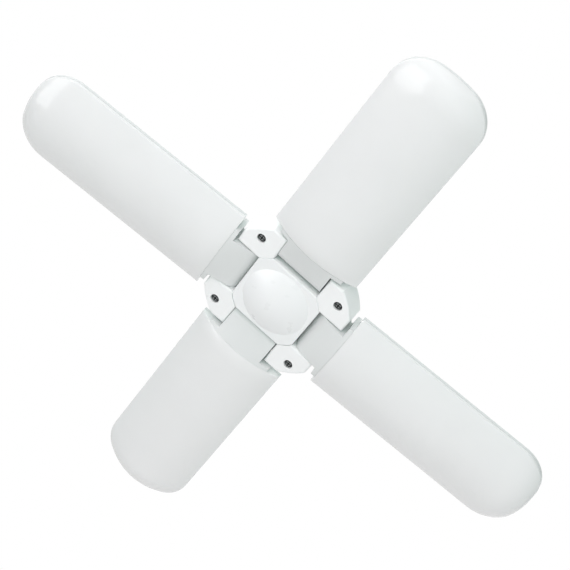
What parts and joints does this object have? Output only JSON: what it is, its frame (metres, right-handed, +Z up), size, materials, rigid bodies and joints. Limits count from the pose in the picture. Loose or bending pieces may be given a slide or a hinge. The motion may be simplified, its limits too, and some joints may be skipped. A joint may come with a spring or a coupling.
{
  "type": "folding petal led grow bulb",
  "caption": "Ceiling grow bulb with a slim E27 base, a domed hub and flat folding LED blades on friction hinges around it.",
  "frame": {"origin": "end of the cap's centre contact, on the lamp's axis", "axes": "+Z up along the lamp's axis, out of the cap into the lampholder; +X along blade 1, +Y along blade 2"},
  "size_m": [0.319, 0.3194, 0.1219],
  "materials": {
    "white_plastic": "fine satin",
    "diffuser_white": "satin, slightly translucent",
    "cap_metal": "plated",
    "contact_metal": "plain",
    "dark_insulator": "glassy",
    "dark_screws": "blackened",
    "washer_steel": "plain",
    "led_board_white": "white solder mask",
    "led_phosphor": "phosphor",
    "circuit_board": "solder mask",
    "capacitor_sleeve": "shrink sleeve",
    "transformer_tape": "tape",
    "film_case": "moulded",
    "black_resin": "moulded",
    "resistor_coat": "lacquer",
    "lead_insulation": "extruded"
  },
  "bodies": {
    "root": {"e27_screw_shell": "cap_metal", "e27_insulator": "dark_insulator", "centre_contact": "contact_metal", "driver_housing": "white_plastic", "driver_board": "circuit_board", "bulk_capacitor": "capacitor_sleeve", "driver_transformer": "transformer_tape", "film_capacitor": "film_case", "bridge_rectifier": "black_resin", "fuse_resistor": "resistor_coat", "driver_controller": "black_resin", "live_lead": "lead_insulation", "neutral_lead": "lead_insulation", "hub_base": "white_plastic", "hub_cover": "white_plastic", "hub_screws": "dark_screws", "centre_diffuser": "diffuser_white", "centre_led_board": "led_board_white", "centre_board_plate": "white_plastic", "centre_leds": "led_phosphor", "hub_lead_1": "lead_insulation", "hub_lead_2": "lead_insulation", "hub_lead_3": "lead_insulation", "hub_lead_4": "lead_insulation"},
    "blade_1": {"blade_shell_1": "white_plastic", "blade_cover_1": "diffuser_white", "blade_led_board_1": "led_board_white", "blade_leds_1": "led_phosphor", "blade_neck_cover_1": "white_plastic", "blade_screws_1": "dark_screws", "hinge_washers_1": "washer_steel", "blade_lead_1": "lead_insulation"},
    "blade_2": {"blade_shell_2": "white_plastic", "blade_cover_2": "diffuser_white", "blade_led_board_2": "led_board_white", "blade_leds_2": "led_phosphor", "blade_neck_cover_2": "white_plastic", "blade_screws_2": "dark_screws", "hinge_washers_2": "washer_steel", "blade_lead_2": "lead_insulation"},
    "blade_3": {"blade_shell_3": "white_plastic", "blade_cover_3": "diffuser_white", "blade_led_board_3": "led_board_white", "blade_leds_3": "led_phosphor", "blade_neck_cover_3": "white_plastic", "blade_screws_3": "dark_screws", "hinge_washers_3": "washer_steel", "blade_lead_3": "lead_insulation"},
    "blade_4": {"blade_shell_4": "white_plastic", "blade_cover_4": "diffuser_white", "blade_led_board_4": "led_board_white", "blade_leds_4": "led_phosphor", "blade_neck_cover_4": "white_plastic", "blade_screws_4": "dark_screws", "hinge_washers_4": "washer_steel", "blade_lead_4": "lead_insulation"}
  },
  "joints": [
    {"name": "blade_1_fold", "type": "hinge", "parent": "root", "child": "blade_1", "pos_m": [0.028, 0, -0.098], "axis": [0, -1, 0], "range_deg": [-16.4, 85.6]},
    {"name": "blade_2_fold", "type": "hinge", "parent": "root", "child": "blade_2", "pos_m": [0, 0.028, -0.098], "axis": [1, 0, 0], "range_deg": [-9, 93]},
    {"name": "blade_3_fold", "type": "hinge", "parent": "root", "child": "blade_3", "pos_m": [-0.028, 0, -0.098], "axis": [0, 1, 0], "range_deg": [-7.2, 94.8]},
    {"name": "blade_4_fold", "type": "hinge", "parent": "root", "child": "blade_4", "pos_m": [0, -0.028, -0.098], "axis": [-1, 0, 0], "range_deg": [-14.5, 87.5]}
  ]
}
